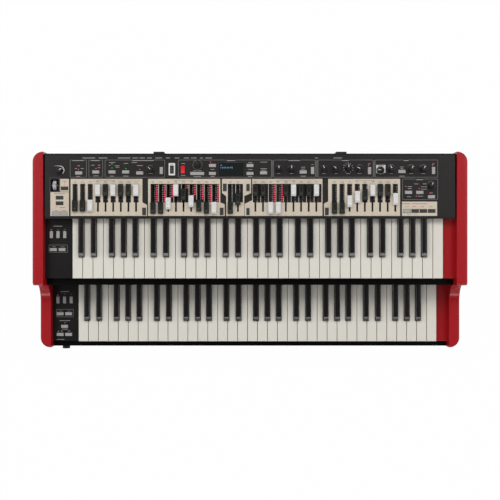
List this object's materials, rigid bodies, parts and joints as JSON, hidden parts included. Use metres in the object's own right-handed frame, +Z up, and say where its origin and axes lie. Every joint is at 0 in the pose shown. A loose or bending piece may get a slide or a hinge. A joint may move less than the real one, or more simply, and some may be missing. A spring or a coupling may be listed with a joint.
{
  "type": "dual-manual organ",
  "caption": "Stage organ with two stepped manuals between red cheeks and a rear panel of drawbars, knobs, rockers and buttons; keys, bars and controls move.",
  "frame": {"origin": "on the floor under the middle of the instrument", "axes": "+X along the keys to the treble side, +Y to the rear wall, +Z up; the player sits at -Y"},
  "size_m": [0.9852, 0.4584, 0.1781],
  "materials": {
    "black_paint": "satin black paint with a fine grain",
    "black_plastic": "satin moulded plastic",
    "red_lacquer": "satin red lacquer over wood",
    "chassis": "folded bare sheet",
    "display_lens": "dark clear lens",
    "rubber": "matt",
    "drawbar_dark": "matt moulded plastic",
    "drawbar_white": "matt moulded plastic",
    "circuit_board": "solder mask",
    "supply_case": "folded sheet",
    "natural_key": "satin ivory plastic",
    "sharp_key": "gloss black plastic",
    "knob": "matt rubber-like plastic",
    "lever_metal": "satin metal",
    "button_dark": "matt silicone",
    "button_red": "satin red plastic",
    "button_grey": "matt silicone"
  },
  "bodies": {
    "root": {"bottom_tray": "black_paint", "left_cheek": "red_lacquer", "right_cheek": "red_lacquer", "control_panel": "black_paint", "upper_front_rail": "black_paint", "upper_keybed": "chassis", "lower_keybed": "chassis", "upper_left_block": "black_plastic", "lower_left_block": "black_plastic", "display_window": "display_lens", "foot_front_left": "rubber", "foot_front_right": "rubber", "foot_rear_left": "rubber", "foot_rear_right": "rubber", "drawbar_frame": "drawbar_dark", "main_board": "circuit_board", "power_supply": "supply_case"},
    "lower_naturals_cegb": {"lower_naturals_cegb": "natural_key"},
    "lower_naturals_dfa": {"lower_naturals_dfa": "natural_key"},
    "lower_sharps": {"lower_sharps": "sharp_key"},
    "upper_naturals_cegb": {"upper_naturals_cegb": "natural_key"},
    "upper_naturals_dfa": {"upper_naturals_dfa": "natural_key"},
    "upper_sharps": {"upper_sharps": "sharp_key"},
    "drawbar_main_1": {"drawbar_main_1": "drawbar_dark"},
    "drawbar_main_2": {"drawbar_main_2": "drawbar_dark"},
    "drawbar_main_3": {"drawbar_main_3": "drawbar_white"},
    "drawbar_main_4": {"drawbar_main_4": "drawbar_white"},
    "drawbar_main_5": {"drawbar_main_5": "drawbar_dark"},
    "drawbar_main_6": {"drawbar_main_6": "drawbar_white"},
    "drawbar_main_7": {"drawbar_main_7": "drawbar_dark"},
    "drawbar_main_8": {"drawbar_main_8": "drawbar_dark"},
    "drawbar_main_9": {"drawbar_main_9": "drawbar_white"},
    "drawbar_bass_1": {"drawbar_bass_1": "drawbar_dark"},
    "drawbar_bass_2": {"drawbar_bass_2": "drawbar_dark"},
    "master_knob": {"master_knob": "knob"},
    "tremolo_knob": {"tremolo_knob": "knob"},
    "program_dial": {"program_dial": "knob"},
    "effect_rate_knob": {"effect_rate_knob": "knob"},
    "effect_amount_knob": {"effect_amount_knob": "knob"},
    "delay_tempo_knob": {"delay_tempo_knob": "knob"},
    "delay_mix_knob": {"delay_mix_knob": "knob"},
    "delay_feedback_knob": {"delay_feedback_knob": "knob"},
    "delay_tone_knob": {"delay_tone_knob": "knob"},
    "amp_drive_knob": {"amp_drive_knob": "knob"},
    "amp_bass_knob": {"amp_bass_knob": "knob"},
    "amp_middle_knob": {"amp_middle_knob": "knob"},
    "amp_treble_knob": {"amp_treble_knob": "knob"},
    "reverb_knob": {"reverb_knob": "knob"},
    "speed_lever": {"speed_lever": "lever_metal"},
    "white_rocker": {"white_rocker": "button_dark"},
    "red_rocker": {"red_rocker": "button_red"},
    "mains_switch": {"mains_switch": "rubber"},
    "effects_buttons": {"effects_buttons": "button_grey"},
    "program_buttons": {"program_buttons": "button_grey"},
    "tone_buttons": {"tone_buttons": "button_grey"},
    "left_organ_buttons": {"left_organ_buttons": "button_dark"},
    "right_organ_buttons": {"right_organ_buttons": "button_grey"},
    "drawbar_set_buttons": {"drawbar_set_buttons": "button_dark"},
    "upper_block_buttons": {"upper_block_buttons": "button_grey"},
    "lower_block_buttons": {"lower_block_buttons": "button_grey"}
  },
  "joints": [
    {"name": "lower_naturals_cegb_press", "type": "hinge", "parent": "root", "child": "lower_naturals_cegb", "pos_m": [0.0177, -0.0097, 0.0573], "axis": [1, 0, 0], "range_deg": [0, 2.87], "stiffness_Nm_per_rad": 30, "springref_deg": -6.88},
    {"name": "lower_naturals_dfa_press", "type": "hinge", "parent": "root", "child": "lower_naturals_dfa", "pos_m": [0.0177, -0.0097, 0.0573], "axis": [1, 0, 0], "range_deg": [0, 2.87], "stiffness_Nm_per_rad": 30, "springref_deg": -6.88},
    {"name": "lower_sharps_press", "type": "hinge", "parent": "root", "child": "lower_sharps", "pos_m": [0.0177, -0.0097, 0.0573], "axis": [1, 0, 0], "range_deg": [0, 2.87], "stiffness_Nm_per_rad": 30, "springref_deg": -6.88},
    {"name": "upper_naturals_cegb_press", "type": "hinge", "parent": "root", "child": "upper_naturals_cegb", "pos_m": [0.0177, 0.1413, 0.1373], "axis": [1, 0, 0], "range_deg": [0, 2.87], "stiffness_Nm_per_rad": 30, "springref_deg": -6.88},
    {"name": "upper_naturals_dfa_press", "type": "hinge", "parent": "root", "child": "upper_naturals_dfa", "pos_m": [0.0177, 0.1413, 0.1373], "axis": [1, 0, 0], "range_deg": [0, 2.87], "stiffness_Nm_per_rad": 30, "springref_deg": -6.88},
    {"name": "upper_sharps_press", "type": "hinge", "parent": "root", "child": "upper_sharps", "pos_m": [0.0177, 0.1413, 0.1373], "axis": [1, 0, 0], "range_deg": [0, 2.87], "stiffness_Nm_per_rad": 30, "springref_deg": -6.88},
    {"name": "drawbar_main_1_slide", "type": "slide", "parent": "root", "child": "drawbar_main_1", "axis": [0, -1, 0], "range_m": [-0.04, 0]},
    {"name": "drawbar_main_2_slide", "type": "slide", "parent": "root", "child": "drawbar_main_2", "axis": [0, -1, 0], "range_m": [-0.04, 0]},
    {"name": "drawbar_main_3_slide", "type": "slide", "parent": "root", "child": "drawbar_main_3", "axis": [0, -1, 0], "range_m": [-0.03, 0.01]},
    {"name": "drawbar_main_4_slide", "type": "slide", "parent": "root", "child": "drawbar_main_4", "axis": [0, -1, 0], "range_m": [0, 0.04]},
    {"name": "drawbar_main_5_slide", "type": "slide", "parent": "root", "child": "drawbar_main_5", "axis": [0, -1, 0], "range_m": [-0.01, 0.03]},
    {"name": "drawbar_main_6_slide", "type": "slide", "parent": "root", "child": "drawbar_main_6", "axis": [0, -1, 0], "range_m": [-0.025, 0.015]},
    {"name": "drawbar_main_7_slide", "type": "slide", "parent": "root", "child": "drawbar_main_7", "axis": [0, -1, 0], "range_m": [-0.035, 0.005]},
    {"name": "drawbar_main_8_slide", "type": "slide", "parent": "root", "child": "drawbar_main_8", "axis": [0, -1, 0], "range_m": [-0.04, 0]},
    {"name": "drawbar_main_9_slide", "type": "slide", "parent": "root", "child": "drawbar_main_9", "axis": [0, -1, 0], "range_m": [-0.04, 0]},
    {"name": "drawbar_bass_1_slide", "type": "slide", "parent": "root", "child": "drawbar_bass_1", "axis": [0, -1, 0], "range_m": [-0.04, 0]},
    {"name": "drawbar_bass_2_slide", "type": "slide", "parent": "root", "child": "drawbar_bass_2", "axis": [0, -1, 0], "range_m": [-0.02, 0.02]},
    {"name": "master_knob_turn", "type": "hinge", "parent": "root", "child": "master_knob", "pos_m": [-0.43059, 0.18682, 0.17], "axis": [0, 0, 1], "range_deg": [-90, 210]},
    {"name": "tremolo_knob_turn", "type": "hinge", "parent": "root", "child": "tremolo_knob", "pos_m": [-0.22487, 0.188, 0.17], "axis": [0, 0, 1], "range_deg": [-190, 110]},
    {"name": "program_dial_turn", "type": "hinge", "parent": "root", "child": "program_dial", "pos_m": [-0.11903, 0.19905, 0.17], "axis": [0, 0, 1], "continuous": true},
    {"name": "effect_rate_knob_turn", "type": "hinge", "parent": "root", "child": "effect_rate_knob", "pos_m": [0.06504, 0.19021, 0.17], "axis": [0, 0, 1], "range_deg": [-150, 150]},
    {"name": "effect_amount_knob_turn", "type": "hinge", "parent": "root", "child": "effect_amount_knob", "pos_m": [0.09394, 0.19021, 0.17], "axis": [0, 0, 1], "range_deg": [-150, 150]},
    {"name": "delay_tempo_knob_turn", "type": "hinge", "parent": "root", "child": "delay_tempo_knob", "pos_m": [0.16753, 0.19021, 0.17], "axis": [0, 0, 1], "range_deg": [-170, 130]},
    {"name": "delay_mix_knob_turn", "type": "hinge", "parent": "root", "child": "delay_mix_knob", "pos_m": [0.19467, 0.19021, 0.17], "axis": [0, 0, 1], "range_deg": [-200, 100]},
    {"name": "delay_feedback_knob_turn", "type": "hinge", "parent": "root", "child": "delay_feedback_knob", "pos_m": [0.22245, 0.19242, 0.17], "axis": [0, 0, 1], "range_deg": [-150, 150]},
    {"name": "delay_tone_knob_turn", "type": "hinge", "parent": "root", "child": "delay_tone_knob", "pos_m": [0.24838, 0.19021, 0.17], "axis": [0, 0, 1], "range_deg": [-220, 80]},
    {"name": "amp_drive_knob_turn", "type": "hinge", "parent": "root", "child": "amp_drive_knob", "pos_m": [0.29558, 0.18682, 0.17], "axis": [0, 0, 1], "range_deg": [-240, 60]},
    {"name": "amp_bass_knob_turn", "type": "hinge", "parent": "root", "child": "amp_bass_knob", "pos_m": [0.31974, 0.19021, 0.17], "axis": [0, 0, 1], "range_deg": [-180, 120]},
    {"name": "amp_middle_knob_turn", "type": "hinge", "parent": "root", "child": "amp_middle_knob", "pos_m": [0.3649, 0.19021, 0.17], "axis": [0, 0, 1], "range_deg": [-130, 170]},
    {"name": "amp_treble_knob_turn", "type": "hinge", "parent": "root", "child": "amp_treble_knob", "pos_m": [0.39203, 0.19021, 0.17], "axis": [0, 0, 1], "range_deg": [-120, 180]},
    {"name": "reverb_knob_turn", "type": "hinge", "parent": "root", "child": "reverb_knob", "pos_m": [0.40987, 0.15292, 0.17], "axis": [0, 0, 1], "range_deg": [-125, 175]},
    {"name": "speed_lever_tilt", "type": "hinge", "parent": "root", "child": "speed_lever", "pos_m": [-0.44239, 0.15247, 0.156], "axis": [1, 0, 0], "range_deg": [-15, 15]},
    {"name": "white_rocker_tilt", "type": "hinge", "parent": "root", "child": "white_rocker", "pos_m": [-0.17683, 0.18829, 0.1615], "axis": [1, 0, 0], "range_deg": [-6, 6]},
    {"name": "red_rocker_tilt", "type": "hinge", "parent": "root", "child": "red_rocker", "pos_m": [-0.1522, 0.18844, 0.1615], "axis": [1, 0, 0], "range_deg": [-6, 6]},
    {"name": "mains_switch_tilt", "type": "hinge", "parent": "root", "child": "mains_switch", "pos_m": [0.15154, 0.2237, 0.029], "axis": [1, 0, 0], "range_deg": [-6, 6]},
    {"name": "effects_buttons_press", "type": "slide", "parent": "root", "child": "effects_buttons", "axis": [0, 0, -1], "range_m": [0, 0.001], "stiffness_N_per_m": 600, "springref_m": -0.002},
    {"name": "program_buttons_press", "type": "slide", "parent": "root", "child": "program_buttons", "axis": [0, 0, -1], "range_m": [0, 0.001], "stiffness_N_per_m": 600, "springref_m": -0.002},
    {"name": "tone_buttons_press", "type": "slide", "parent": "root", "child": "tone_buttons", "axis": [0, 0, -1], "range_m": [0, 0.001], "stiffness_N_per_m": 600, "springref_m": -0.002},
    {"name": "left_organ_buttons_press", "type": "slide", "parent": "root", "child": "left_organ_buttons", "axis": [0, 0, -1], "range_m": [0, 0.001], "stiffness_N_per_m": 600, "springref_m": -0.002},
    {"name": "right_organ_buttons_press", "type": "slide", "parent": "root", "child": "right_organ_buttons", "axis": [0, 0, -1], "range_m": [0, 0.001], "stiffness_N_per_m": 600, "springref_m": -0.002},
    {"name": "drawbar_set_buttons_press", "type": "slide", "parent": "root", "child": "drawbar_set_buttons", "axis": [0, 0, -1], "range_m": [0, 0.001], "stiffness_N_per_m": 600, "springref_m": -0.002},
    {"name": "upper_block_buttons_press", "type": "slide", "parent": "root", "child": "upper_block_buttons", "axis": [0, 0, -1], "range_m": [0, 0.001], "stiffness_N_per_m": 600, "springref_m": -0.002},
    {"name": "lower_block_buttons_press", "type": "slide", "parent": "root", "child": "lower_block_buttons", "axis": [0, 0, -1], "range_m": [0, 0.001], "stiffness_N_per_m": 600, "springref_m": -0.002}
  ]
}
